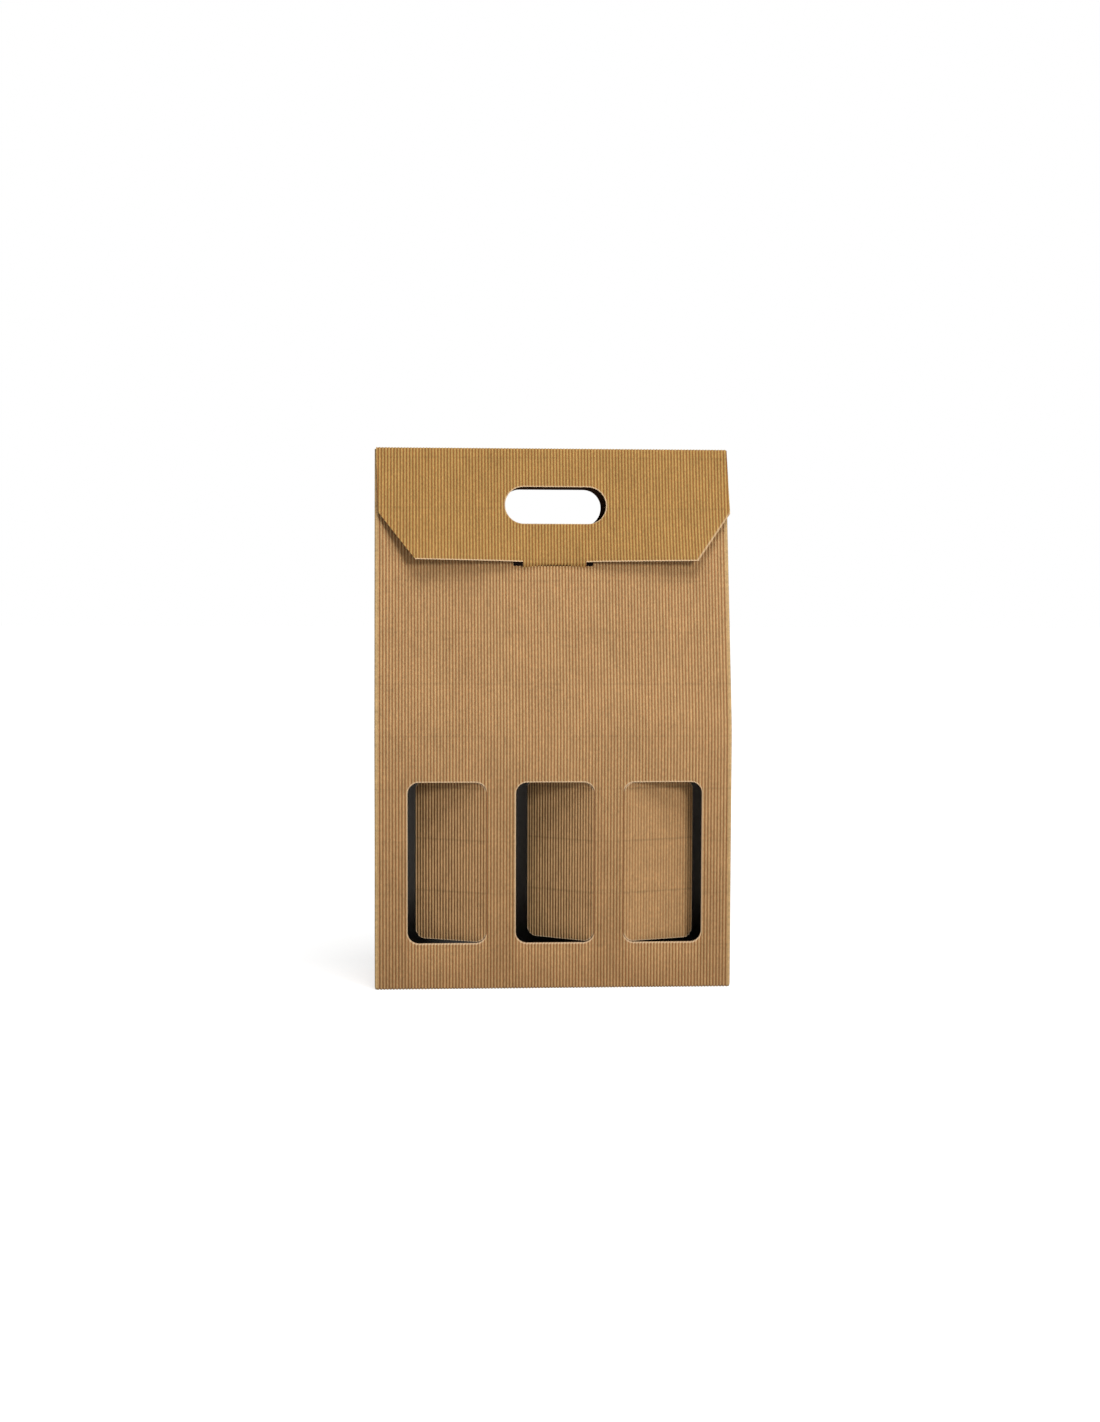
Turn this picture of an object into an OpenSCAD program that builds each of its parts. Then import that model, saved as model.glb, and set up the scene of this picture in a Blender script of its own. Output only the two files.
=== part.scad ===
// Carrier box for three bottles, folded from one blank of open-flute board.
// Millimetres. Origin under the middle of the base, front towards -Y, +Z up.

/* [Box] */
// Width of the box, over the folds at its sides
box_w = 255; // [210:1:320]
// Depth of the base, front to back
box_d = 85; // [70:1:105]
// Height of the upright walls, where the gable starts
wall_h = 186; // [165:1:230]
// Height of the closed box, over the lid
box_h = 387; // [360:1:450]

/* [Board] */
// Thickness of the flat inner sheet
liner_t = 0.5; // [0.3:0.05:0.7]
// Height of the flutes that stand on the flat sheet
flute_h = 0.8; // [0.5:0.05:1]
// Thickness of the corrugated paper where it lies on the flat sheet
valley_t = 0.2; // [0.1:0.05:0.3]
// Distance from one flute to the next
flute_pitch = 2.26; // [2:0.02:6]
// Room between edges that fold or slide past each other
gap = 0.3; // [0.2:0.05:0.5]

/* [Windows] */
// Width of a window
window_w = 56.2; // [40:0.2:60]
// Height of a window
window_h = 115; // [80:1:125]
// Distance from one window's centre to the next
window_pitch = 77; // [65:0.5:78]
// Height of the windows' lower edges above the base
window_z = 33.2; // [15:0.2:36]
// Radius of the windows' corners
window_r = 8; // [3:0.5:12]
// Sideways place of the middle window's centre
windows_x = 1; // [-2:0.5:2]
// Angle at which the left flap is pushed in
left_open = 25; // [0:1:60]
// Angle at which the middle flap is pushed in
middle_open = 34; // [0:1:60]
// Angle at which the right flap is pushed in
right_open = 19; // [0:1:60]

/* [Lid] */
// Length of the lid down the front, from the ridge to its lower edge
lid_l = 83.4; // [70:0.2:95]
// Width of the lid
lid_w = 254; // [205:1:255]
// Length of the lid's side edges, from the ridge to the slanted corners
lid_side_l = 46.9; // [35:0.2:60]
// Width that each slanted corner takes off the lower edge
lid_corner_w = 25.9; // [10:0.2:40]
// Sideways place of the lid at the ridge
lid_x = 0.6; // [-1:0.1:1]
// Sideways lean of the lid's lower edge
lid_lean = 2.4; // [0:0.1:3]
// Room between the lid and the front panel
lid_gap = 0.4; // [0.3:0.1:1]

/* [Lock] */
// Width of the tongue at the lid's lower edge
tongue_w = 49; // [30:1:55]
// Length of the tongue that reaches into the box
tongue_l = 11; // [6:0.5:14]
// Width of the slot in the front panel
slot_w = 57.7; // [56:0.2:66]
// Sideways place of the slot and the tongue
lock_x = 1.8; // [-2:0.2:2]

/* [Handle] */
// Length of the hand hole
hole_w = 73; // [60:1:90]
// Height of the hand hole
hole_h = 26.6; // [20:0.2:32]
// Drop of the hole's centre below the top of the box
hole_drop = 41.4; // [30:0.2:48]
// Sideways place of the holes in the two panels
hole_x = 0.6; // [-2:0.2:2]
// Sideways place of the hole in the lid
lid_hole_x = 2.6; // [-3:0.2:3]

/* [Base] */
// Length of the two small flaps that fold in from the sides
dust_l = 62; // [40:1:100]
// Width of the glued tab inside the left rear corner
glue_w = 18; // [10:1:25]

/* [Hidden] */

board_t = liner_t + flute_h;
half_w = box_w / 2;
half_d = box_d / 2;
// The ridge holds two panels and, near the sides, two folded gusset layers
ridge_half = 2 * board_t + gap / 3;
ridge_z = box_h - board_t - gap;
gable_rise = ridge_z - wall_h;
panel_lean = atan2(half_d - ridge_half, gable_rise);
gusset_lean = atan2(half_d, gable_rise);
gusset_l = gable_rise / cos(gusset_lean);
// Flat stretches between the fold edges
front_w = box_w - 2 * board_t;
side_w = box_d - 2 * board_t;
front_flutes = round(front_w / flute_pitch);
side_flutes = round(side_w / flute_pitch);
flap_flutes = round(window_w / flute_pitch);
lid_flutes = round((lid_w + 2 * lid_lean) / flute_pitch);
// Past every face that a cutting shape has to clear
over = 5;
// Steps of a fold's quarter round
fold_steps = 4;
// A leaning panel takes in the end of the wall under it: it starts this far below the fold
// and is drawn thicker by skin on each side
crease = 0.05;
skin = 0.02;
// Angle about the lid's fold line that the slot is cut through, on each side of the lid
slot_reach = 4;
// Height that standing takes off the flutes under the base
pressed = 0.1;
// Folded heights of the three layers under the base
outer_z = board_t;
middle_z = 2 * board_t;
inner_z = 3 * board_t;
// Fold line of the lid over the rear panel, as [y, z], in the middle of the board
hinge = [ridge_half - board_t / 2, box_h - board_t / 2];
// Directions down the front panel and straight out of it, as [y, z]
lid_down = [-sin(panel_lean), -cos(panel_lean)];
lid_out = [-cos(panel_lean), sin(panel_lean)];
// Inner corner where the lid turns down over the front, as [y, z]
lid_foot = [-ridge_half, ridge_z] + lid_gap * lid_out;
lid_turn = lid_foot - lid_down * (box_h - board_t - lid_foot[1]) / cos(panel_lean);
// Inner corner where the tongue turns into the slot, and the arc that it swings on
tongue_turn = lid_turn + lid_l * lid_down;
tongue_r = norm(tongue_turn - hinge);
tongue_from = atan2(tongue_turn[1] - hinge[1], tongue_turn[0] - hinge[0]);
tongue_to = tongue_from + tongue_l / tongue_r * 180 / PI;
board_color = "burlywood";
lid_color = "tan";

// Section of a fluted sheet: flat inside on y = 0, crests on y = -board_t, both moved out by extra
function sheet_section(w, flutes, extra) = concat(
  [[-w / 2, extra]],
  [for (i = [0:2 * flutes])
    [-w / 2 + i * w / (2 * flutes), -extra - (i % 2 == 0 ? liner_t + valley_t : board_t)]],
  [[w / 2, extra]]
);

// Points on an arc about c, from angle a0 to a1
function arc(c, r, a0, a1, steps) =
  [for (i = [0:steps]) c + r * [cos(a0 + (a1 - a0) * i / steps), sin(a0 + (a1 - a0) * i / steps)]];

// Height of the plane that halves the fold between an upright wall and its leaning part
function mitre_z(y, half, lean) = wall_h - (y + half) * tan(lean / 2);

// Fluted sheet standing on its lower edge and facing -Y
module sheet(w, l, flutes, extra = 0) {
  linear_extrude(height = l) polygon(sheet_section(w, flutes, extra));
}

// Shape drawn in the YZ plane and drawn out along X, about the middle
module along_x(w) {
  translate([-w / 2, 0, 0]) rotate([90, 0, 90]) linear_extrude(height = w) children();
}

// Everything under the fold plane of a wall at y = -half
module under_fold(w, half, lean) {
  y0 = -half - over;
  y1 = -half + over;
  along_x(w + 2 * over) polygon([
    [y0, mitre_z(y0, half, lean)], [y1, mitre_z(y1, half, lean)], [y1, -over], [y0, -over]
  ]);
}

// Everything over the fold plane of a wall at y = -half, up to the ridge
module over_fold(w, half, lean) {
  y0 = -half - over;
  along_x(w + 2 * over) polygon([
    [y0, mitre_z(y0, half, lean) - crease], [0, mitre_z(0, half, lean) - crease],
    [0, ridge_z], [y0, ridge_z]
  ]);
}

// Upright part of a wall at y = -half, from z up to the fold
module upright(w, half, lean, flutes, z) {
  intersection() {
    translate([0, board_t - half, z]) sheet(w, wall_h, flutes);
    under_fold(w, half, lean);
  }
}

// Frame of a leaning panel: inside on y = 0, its lower fold on z = 0
module leaning_frame(half, lean) {
  translate([0, board_t - half, wall_h - board_t * tan(lean / 2)]) rotate([-lean, 0, 0]) children();
}

// Leaning part of a wall at y = -half, from the fold up
module leaning(w, half, lean, flutes) {
  intersection() {
    leaning_frame(half, lean) translate([0, 0, -over])
      sheet(w, gusset_l + 2 * over, flutes, skin);
    over_fold(w, half, lean);
  }
}

// Window cut through the front, with round corners all round
module window_cut(x) {
  translate([x, 0, window_z + window_h / 2])
    rotate([90, 0, 0])
      linear_extrude(height = half_d + over) rounded_plate(window_w, window_h, window_r);
}

// Rectangle with round corners about its centre
module rounded_plate(w, h, r) {
  union() {
    square([w - 2 * r, h], center = true);
    square([w, h - 2 * r], center = true);
    for (sx = [-1, 1], sy = [-1, 1])
      translate([sx * (w / 2 - r), sy * (h / 2 - r)]) circle(r = r, $fn = 32);
  }
}

// Hand hole, level through a panel, the lid or both panels
module hand_hole(x) {
  translate([x, 0, box_h - hole_drop]) rotate([90, 0, 0])
    linear_extrude(height = box_d, center = true) union() {
      square([hole_w - hole_h, hole_h], center = true);
      for (s = [-1, 1]) translate([s * (hole_w - hole_h) / 2, 0]) circle(d = hole_h, $fn = 48);
    }
}

// Band about the lid's fold line that the tongue sweeps, widened by room on each side
module tongue_band(w, room, from_angle, to_angle) {
  translate([lock_x, 0, 0]) along_x(w) polygon(concat(
    arc(hinge, tongue_r - room, from_angle, to_angle, fold_steps),
    arc(hinge, tongue_r + board_t + room, to_angle, from_angle, fold_steps)
  ));
}

// Layer folded back behind a leaning panel, widest at the ridge
module gusset_layer() {
  top_z = gusset_l + over;
  slope = half_d / gusset_l;
  rotate([90, 0, 0]) mirror([0, 0, 1]) linear_extrude(height = board_t) polygon([
    [half_w - board_t, -over],
    [half_w - board_t, top_z],
    [half_w - slope * top_z, top_z],
    [half_w - 2 * board_t, -over]
  ]);
}

// Round edge of a leaning panel, where the board doubles back
module gusset_edge() {
  translate([half_w - board_t, 0, -over])
    linear_extrude(height = gusset_l + 2 * over)
      polygon(arc([0, 0], board_t, 0, 330, 11));
}

// Front or rear panel with its folded gusset layers, facing -Y
module main_panel(z) {
  upright(front_w, half_d, panel_lean, front_flutes, z);
  leaning(front_w, half_d, panel_lean, front_flutes);
  intersection() {
    leaning_frame(half_d, panel_lean) for (s = [0, 1]) mirror([s, 0, 0]) {
      gusset_layer();
      gusset_edge();
    }
    over_fold(box_w, half_d, panel_lean);
  }
  corner_posts(half_d, panel_lean);
}

// Upright folds at both ends of a main panel
module corner_posts(half, lean) {
  intersection() {
    for (s = [0, 1]) mirror([s, 0, 0])
      translate([half_w - board_t, board_t - half, middle_z])
        linear_extrude(height = wall_h)
          polygon(concat([[0, 0]], arc([0, 0], board_t, -90, 0, fold_steps)));
    under_fold(box_w, half, lean);
  }
}

// Room between the front and rear panels, open at the sides under the gable
module between_panels() {
  wide = half_d + over;
  narrow = half_d - board_t;
  top = ridge_half - board_t / cos(panel_lean);
  fold_z = wall_h - board_t * tan(panel_lean / 2);
  along_x(box_w + 2 * over) polygon([
    [-wide, -over], [wide, -over], [wide, fold_z], [narrow, fold_z],
    [top, ridge_z], [-top, ridge_z], [-narrow, fold_z], [-wide, fold_z]
  ]);
}

// Side wall with the gusset that leans in above it, facing +X
module side_panel() {
  intersection() {
    rotate([0, 0, 90]) union() {
      upright(side_w, half_w, gusset_lean, side_flutes, inner_z);
      leaning(side_w, half_w, gusset_lean, side_flutes);
    }
    between_panels();
  }
}

// Round fold under a wall at y = -half, between the wall and its base flap
module base_fold(w, half, z) {
  along_x(w) polygon(concat(
    [[board_t - half, z]],
    arc([board_t - half, z], board_t, 180, 270, fold_steps)
  ));
}

// Outer base flap, whose flutes are pressed a little flat where the box stands on them
module outer_flap(w, l) {
  intersection() {
    translate([0, board_t - half_d + l, outer_z - pressed]) rotate([90, 0, 0])
      sheet(w, l, front_flutes);
    translate([-w / 2, -box_d, 0]) cube([w, 2 * box_d, outer_z]);
  }
}

// Base flaps: a fluted one outside, a plain one over it and two short ones inside
module base() {
  flap_w = front_w - 2 * gap;
  flap_l = side_w + board_t / 2;
  base_fold(flap_w, half_d, outer_z);
  outer_flap(flap_w, flap_l);
  mirror([0, 1, 0]) base_fold(flap_w, half_d, middle_z);
  translate([-flap_w / 2, board_t - half_d + gap, outer_z]) cube([flap_w, side_w - gap, board_t]);
  for (s = [0, 1]) mirror([s, 0, 0]) {
    rotate([0, 0, 90]) base_fold(side_w - 2 * gap, half_w, inner_z);
    translate([half_w - board_t - dust_l, -side_w / 2 + gap, middle_z])
      cube([dust_l, side_w - 2 * gap, board_t]);
  }
}

// Tab that joins the rear panel to the left wall from the inside
module glue_tab() {
  translate([board_t - half_w, half_d - board_t - glue_w, inner_z + board_t])
    cube([board_t, glue_w, wall_h - inner_z - 3 * board_t]);
}

module body() {
  color(board_color) {
    difference() {
      main_panel(outer_z);
      for (i = [-1:1]) window_cut(windows_x + i * window_pitch);
      hand_hole(hole_x);
      tongue_band(slot_w, gap, tongue_from - slot_reach, tongue_from + slot_reach);
    }
    difference() {
      mirror([0, 1, 0]) main_panel(middle_z);
      hand_hole(hole_x);
    }
    for (s = [0, 1]) mirror([s, 0, 0]) side_panel();
    base();
    glue_tab();
  }
}

// Frame of the lid's front: inside on y = 0, its upper fold on z = 0
module lid_frame() {
  translate([0, lid_turn[0], lid_turn[1]]) rotate([-panel_lean, 0, 0]) children();
}

// Flat outline of the lid's front, leaning a little to one side, with slanted corners
module lid_outline() {
  polygon([
    for (p = [
      [-lid_w / 2, 0],
      [lid_w / 2, 0],
      [lid_w / 2, lid_side_l],
      [lid_w / 2 - lid_corner_w, lid_l],
      [lid_corner_w - lid_w / 2, lid_l],
      [-lid_w / 2, lid_side_l]
    ]) [p[0] + lid_x + lid_lean * p[1] / lid_l, -p[1]]
  ]);
}

// Fluted front of the lid with its hand hole
module lid_front() {
  difference() {
    lid_frame() intersection() {
      translate([0, 0, -lid_l]) sheet(lid_w + 4 * lid_lean, lid_l, lid_flutes);
      translate([0, over, 0]) rotate([90, 0, 0])
        linear_extrude(height = 2 * over) lid_outline();
    }
    hand_hole(lid_hole_x);
  }
}

// Strip over the ridge, from the round fold at the rear to the turn at the front
module lid_top() {
  translate([lid_x, 0, 0]) along_x(lid_w) {
    polygon(concat(
      [hinge - [0, board_t / 2], lid_turn],
      arc(lid_turn, board_t, 180 - panel_lean, 90, fold_steps),
      [hinge + [0, board_t / 2]]
    ));
    polygon(arc(hinge, board_t / 2, 0, 330, 11));
  }
}

// Tongue in the lid's lower edge, bent through the slot
module tongue() {
  translate([lock_x, 0, 0]) along_x(tongue_w)
    polygon(concat(
      [tongue_turn],
      arc(tongue_turn, board_t, 180 - panel_lean, 360 + tongue_from, fold_steps)
    ));
  tongue_band(tongue_w, 0, tongue_from, tongue_to);
}

module lid() {
  color(lid_color) {
    lid_top();
    lid_front();
    tongue();
  }
}

// Window's cut-out, hinged along its edge at x = 0 and reaching to -X
module window_flap(open) {
  rotate([0, 0, -open]) translate([-window_w / 2, 0, window_z]) intersection() {
    sheet(window_w, window_h, flap_flutes);
    translate([0, over, window_h / 2]) rotate([90, 0, 0])
      linear_extrude(height = 2 * over)
        rounded_plate(window_w - 2 * gap, window_h - 2 * gap, window_r - gap);
  }
}

// Puts a flap's hinge on the inner face of the front, at the edge of window i
module at_window_edge(i, side) {
  translate([windows_x + i * window_pitch + side * window_w / 2, board_t - half_d, 0]) children();
}

module window_flap_left() {
  color(board_color) at_window_edge(-1, 1) window_flap(left_open);
}

module window_flap_middle() {
  color(board_color) at_window_edge(0, 1) window_flap(middle_open);
}

module window_flap_right() {
  color(board_color) at_window_edge(1, -1) mirror([1, 0, 0]) window_flap(right_open);
}

body();
lid();
window_flap_left();
window_flap_middle();
window_flap_right();
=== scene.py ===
"""Looks of a carrier box for three bottles, made of brown open-flute board.

Lengths are in metres in the row frame: X across the front, -Y out of the front, +Z up.
Each sheet is made flat, as a plain liner under corrugated paper, and is then folded.
"""

import logging
import math
from dataclasses import dataclass, field
from enum import Enum
from typing import Callable, Iterable, Sequence

import bpy
import numpy as np
from mathutils import Matrix, Vector

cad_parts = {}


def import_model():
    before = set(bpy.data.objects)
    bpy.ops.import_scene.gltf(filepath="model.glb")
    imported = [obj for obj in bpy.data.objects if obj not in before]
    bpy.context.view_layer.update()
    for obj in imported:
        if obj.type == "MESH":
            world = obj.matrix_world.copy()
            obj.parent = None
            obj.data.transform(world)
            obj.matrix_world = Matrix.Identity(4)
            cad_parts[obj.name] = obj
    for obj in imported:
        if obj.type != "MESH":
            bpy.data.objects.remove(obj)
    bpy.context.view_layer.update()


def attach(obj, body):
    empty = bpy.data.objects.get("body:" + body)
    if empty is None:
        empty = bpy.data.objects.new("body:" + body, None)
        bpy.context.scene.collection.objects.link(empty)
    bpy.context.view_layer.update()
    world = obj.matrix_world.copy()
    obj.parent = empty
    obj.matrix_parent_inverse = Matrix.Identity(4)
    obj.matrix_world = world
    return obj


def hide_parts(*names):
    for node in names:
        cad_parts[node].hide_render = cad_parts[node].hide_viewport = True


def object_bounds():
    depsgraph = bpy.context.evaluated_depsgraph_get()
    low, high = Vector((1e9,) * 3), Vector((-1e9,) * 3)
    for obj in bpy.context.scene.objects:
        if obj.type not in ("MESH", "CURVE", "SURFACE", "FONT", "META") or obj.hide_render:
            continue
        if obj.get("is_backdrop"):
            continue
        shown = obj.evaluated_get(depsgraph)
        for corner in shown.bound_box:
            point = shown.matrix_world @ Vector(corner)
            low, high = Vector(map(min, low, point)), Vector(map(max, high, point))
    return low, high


MM = 0.001
LOG = logging.getLogger("carrier_box")
FLAT_UV = "flat"
# Counts of flutes that the sheets' UV maps start from, so that a material can tell them apart
REAR_START, FLAP_START, PLAIN_START = 1000.0, 2000.0, 3000.0
# Place across the flutes that a rounded fold's paper is read from, and the right flap's step past the others
ROLL_START, RIGHT_STEP = PLAIN_START + 0.38, 100.0
# Lines that the making of the board pressed across the flutes: half a step before the first, and the step
PRESS_FIRST, PRESS_STEP = 12.6 * MM, 37.4 * MM
# Where a flap's free edge starts to curl, measured from that edge, and over how much of the flap
CURL_INSET, CURL_REACH = 9 * MM, 8 * MM
# Width of the pale line along a cut, partly paler cut paper and partly painted highlight, and how much of the pale
# colour it takes
RIM_WIDTH, RIM_LIGHT = 0.9 * MM, 0.8

Point = tuple[float, float]


class Finish(Enum):
    """Materials of the box and its set."""

    KRAFT = "kraft_board"
    LID = "kraft_lid"
    LINER = "liner"
    INSIDE = "liner_inside"
    EDGE = "cut_edge"
    LID_EDGE = "lid_cut_edge_shade"
    FLOOR = "floor"


class Side(Enum):
    """Which way a sheet's far part turns at a fold."""

    ABOVE = 1
    BELOW = -1


# Sizes


@dataclass(frozen=True)
class Board:
    """Open-flute board: a flat liner and a corrugated sheet outside it."""

    liner: float = 0.5 * MM
    flute: float = 0.8 * MM
    paper: float = 0.2 * MM
    pitch: float = 2.26 * MM
    segments: int = 8

    @property
    def thickness(self) -> float:
        """Full thickness of the board."""
        return self.liner + self.flute


@dataclass(frozen=True)
class BoxSizes:
    """Outer sizes of the box, the heights of its folds and their bend radii.

    Attributes:
        width: size over the corner folds, across the front.
        depth: size over the corner folds, from front to rear.
        wall: height of the upright walls.
        height: height over the lid.
        gap: room between parts that move or meet.
        dust: length of the two small base flaps.
        tab: width of the glued tab.
        crease: bend radius of a pressed fold.
        wall_bend: bend radius of the front and rear where the gable starts.
        side_bend: bend radius of the sides where the gussets start.
        board: the board's sizes.
    """

    width: float = 255 * MM
    depth: float = 85 * MM
    wall: float = 186 * MM
    height: float = 387 * MM
    gap: float = 0.3 * MM
    dust: float = 62 * MM
    tab: float = 18 * MM
    crease: float = 0.15 * MM
    wall_bend: float = 120 * MM
    side_bend: float = 12 * MM
    board: Board = field(default_factory=Board)

    @property
    def half_w(self) -> float:
        """Half the width over the corner folds."""
        return self.width / 2

    @property
    def half_d(self) -> float:
        """Half the depth over the corner folds."""
        return self.depth / 2

    @property
    def front_w(self) -> float:
        """Flat width of the front between the corner folds."""
        return self.width - 2 * self.board.thickness

    @property
    def side_w(self) -> float:
        """Flat width of a side between the corner folds."""
        return self.depth - 2 * self.board.thickness

    @property
    def ridge_z(self) -> float:
        """Top of the front and rear panels, under the lid."""
        return self.height - self.board.thickness - self.gap

    @property
    def ridge_half(self) -> float:
        """Half the depth at the ridge."""
        return 2 * self.board.thickness + self.gap / 3

    @property
    def rise(self) -> float:
        """Height of the gable over the upright walls."""
        return self.ridge_z - self.wall

    @property
    def panel_lean(self) -> float:
        """Lean of the gable's front and rear, in radians."""
        return math.atan2(self.half_d - self.ridge_half, self.rise)

    @property
    def gusset_lean(self) -> float:
        """Lean of the folded-in gable sides, in radians."""
        return math.atan2(self.half_d, self.rise)


@dataclass(frozen=True)
class WindowSizes:
    """The three windows and the flaps pushed in from them."""

    width: float = 56.2 * MM
    height: float = 115 * MM
    pitch: float = 77 * MM
    bottom: float = 33.2 * MM
    radius: float = 8 * MM
    middle_x: float = 1 * MM
    open_angles: tuple[float, float, float] = (25, 34, 19)

    def centre(self, i: int) -> Vector:
        """Returns the centre of window i, with -1 at the left, as x and z."""
        return Vector((self.middle_x + i * self.pitch, 0, self.bottom + self.height / 2))


@dataclass(frozen=True)
class LidSizes:
    """The lid with its slanted corners, tongue and slot."""

    length: float = 83.4 * MM
    width: float = 254 * MM
    side: float = 46.9 * MM
    corner: float = 25.9 * MM
    shift: float = 0.6 * MM
    lean: float = 2.4 * MM
    gap: float = 0.4 * MM
    tongue_w: float = 45.6 * MM
    tongue_l: float = 11 * MM
    slot_w: float = 57.4 * MM
    slot_x: float = 0.5 * MM
    tongue_x: float = 1.4 * MM
    edge_up: float = 0.4 * MM

    def outline(self) -> list[Point]:
        """Returns the corners of the left and right edges from the ridge down, as x and z."""
        half = self.width / 2
        spots = [(-half, 0), (-half, self.side), (self.corner - half, self.length),
                 (half, 0), (half, self.side), (half - self.corner, self.length)]
        return [(x + self.shift + self.lean * down / self.length, -down) for x, down in spots]


@dataclass(frozen=True)
class HoleSizes:
    """The hand hole through the lid and both panels."""

    width: float = 73 * MM
    height: float = 26.6 * MM
    drop: float = 41.4 * MM
    front_x: float = 2.6 * MM
    rear_x: float = 0.6 * MM
    rear_down: float = 1.3 * MM
    lid_x: float = 2.6 * MM


# Steps at the bench


class Bench:
    """Modelling steps, each on one mesh."""

    @staticmethod
    def only(obj: bpy.types.Object) -> None:
        """Makes obj the only selected object.

        Args:
            obj: the object.
        """
        if bpy.context.mode != "OBJECT":
            bpy.ops.object.mode_set(mode="OBJECT")
        bpy.ops.object.select_all(action="DESELECT")
        obj.select_set(True)
        bpy.context.view_layer.objects.active = obj

    @staticmethod
    def coords(obj: bpy.types.Object) -> np.ndarray:
        """Returns the vertices of obj as rows of x, y, z.

        Args:
            obj: the object.

        Returns:
            One row for each vertex.
        """
        co = np.zeros(len(obj.data.vertices) * 3)
        obj.data.vertices.foreach_get("co", co)
        return co.reshape(-1, 3)

    @staticmethod
    def pick(obj: bpy.types.Object, chosen: np.ndarray) -> None:
        """Opens obj in edit mode with the chosen vertices selected.

        Args:
            obj: the object.
            chosen: one entry for each vertex, true where it is chosen.
        """
        Bench.only(obj)
        bpy.ops.object.mode_set(mode="EDIT")
        bpy.ops.mesh.select_mode(type="VERT")
        bpy.ops.mesh.select_all(action="DESELECT")
        bpy.ops.object.mode_set(mode="OBJECT")
        obj.data.vertices.foreach_set("select", chosen.astype(bool))
        bpy.ops.object.mode_set(mode="EDIT")

    @staticmethod
    def done() -> None:
        """Leaves edit mode."""
        bpy.ops.object.mode_set(mode="OBJECT")

    @staticmethod
    def freeze(obj: bpy.types.Object) -> None:
        """Writes the object's place, turn and scale into its mesh."""
        Bench.only(obj)
        bpy.ops.object.transform_apply(location=True, rotation=True, scale=True)

    @staticmethod
    def apply(obj: bpy.types.Object, kind: str, **settings: object) -> None:
        """Adds a modifier of that kind to obj and applies it.

        Args:
            obj: the object.
            kind: the modifier's type name.
            **settings: the modifier's properties.
        """
        Bench.only(obj)
        modifier = obj.modifiers.new(kind.lower(), kind)
        for key, value in settings.items():
            setattr(modifier, key, value)
        bpy.ops.object.modifier_apply(modifier=modifier.name)

    @staticmethod
    def slice(obj: bpy.types.Object, co: Sequence[float], no: Sequence[float], clear: bool = False) -> None:
        """Adds a row of vertices where the plane crosses obj.

        Args:
            obj: the mesh.
            co: a point of the plane.
            no: the plane's normal.
            clear: also removes the part that the normal points to.
        """
        Bench.only(obj)
        bpy.ops.object.mode_set(mode="EDIT")
        bpy.ops.mesh.select_mode(type="VERT")
        bpy.ops.mesh.select_all(action="SELECT")
        bpy.ops.mesh.bisect(plane_co=co, plane_no=no, clear_outer=clear)
        Bench.done()

    @staticmethod
    def remove(obj: bpy.types.Object, inside: Callable[[np.ndarray], np.ndarray]) -> None:
        """Removes the faces whose middles, as rows of x, y, z, are inside.

        Args:
            obj: the mesh.
            inside: tells for each row whether it is inside.
        """
        middles = np.zeros(len(obj.data.polygons) * 3)
        obj.data.polygons.foreach_get("center", middles)
        Bench.pick(obj, np.zeros(len(obj.data.vertices)))
        bpy.ops.mesh.select_mode(type="FACE")
        Bench.done()
        obj.data.polygons.foreach_set("select", inside(middles.reshape(-1, 3)))
        bpy.ops.object.mode_set(mode="EDIT")
        bpy.ops.mesh.delete(type="FACE")
        Bench.done()

    @staticmethod
    def turn(angle: float, axis: str, centre: Sequence[float]) -> None:
        """Turns what is selected in edit mode, by the right-hand rule."""
        bpy.ops.transform.rotate(value=-angle, orient_axis=axis, orient_type="GLOBAL", center_override=centre)

    @staticmethod
    def join(name: str, parts: Sequence[bpy.types.Object]) -> bpy.types.Object:
        """Joins the parts into one object with that name.

        Args:
            name: name of the object and of its mesh.
            parts: the objects to join.

        Returns:
            The joined object.
        """
        Bench.only(parts[0])
        for part in parts:
            part.select_set(True)
        if len(parts) > 1:
            bpy.ops.object.join()
        parts[0].name = name
        parts[0].data.name = name
        return parts[0]

    @staticmethod
    def copy(obj: bpy.types.Object, name: str) -> bpy.types.Object:
        """Copies obj with a mesh of its own.

        Args:
            obj: the object.
            name: the copy's name.

        Returns:
            The copy.
        """
        Bench.only(obj)
        bpy.ops.object.duplicate(linked=False)
        twin = bpy.context.view_layer.objects.active
        twin.name = name
        return twin

    @staticmethod
    def mirror_copy(obj: bpy.types.Object, name: str, axis: str) -> bpy.types.Object:
        """Copies obj and mirrors the copy through the middle of the box.

        Args:
            obj: the object.
            name: the copy's name.
            axis: X or Y, the axis that is mirrored.

        Returns:
            The copy, with its faces outwards.
        """
        twin = Bench.copy(obj, name)
        twin.scale = (-1, 1, 1) if axis == "X" else (1, -1, 1)
        Bench.freeze(twin)
        bpy.ops.object.mode_set(mode="EDIT")
        bpy.ops.mesh.select_all(action="SELECT")
        bpy.ops.mesh.flip_normals()
        Bench.done()
        return twin

    @staticmethod
    def place(obj: bpy.types.Object, move: Sequence[float] = (0, 0, 0), turn: Sequence[float] = (0, 0, 0)) -> None:
        """Turns obj about the origin, moves it and freezes it.

        Args:
            obj: the object.
            move: the move.
            turn: the turns about X, Y and Z, in radians.
        """
        obj.rotation_euler = turn
        obj.location = move
        Bench.freeze(obj)

    @staticmethod
    def smooth(obj: bpy.types.Object, angle: float = 45) -> None:
        """Shades obj smooth apart from edges sharper than angle, in degrees."""
        Bench.only(obj)
        bpy.ops.object.shade_smooth_by_angle(angle=math.radians(angle))


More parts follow.
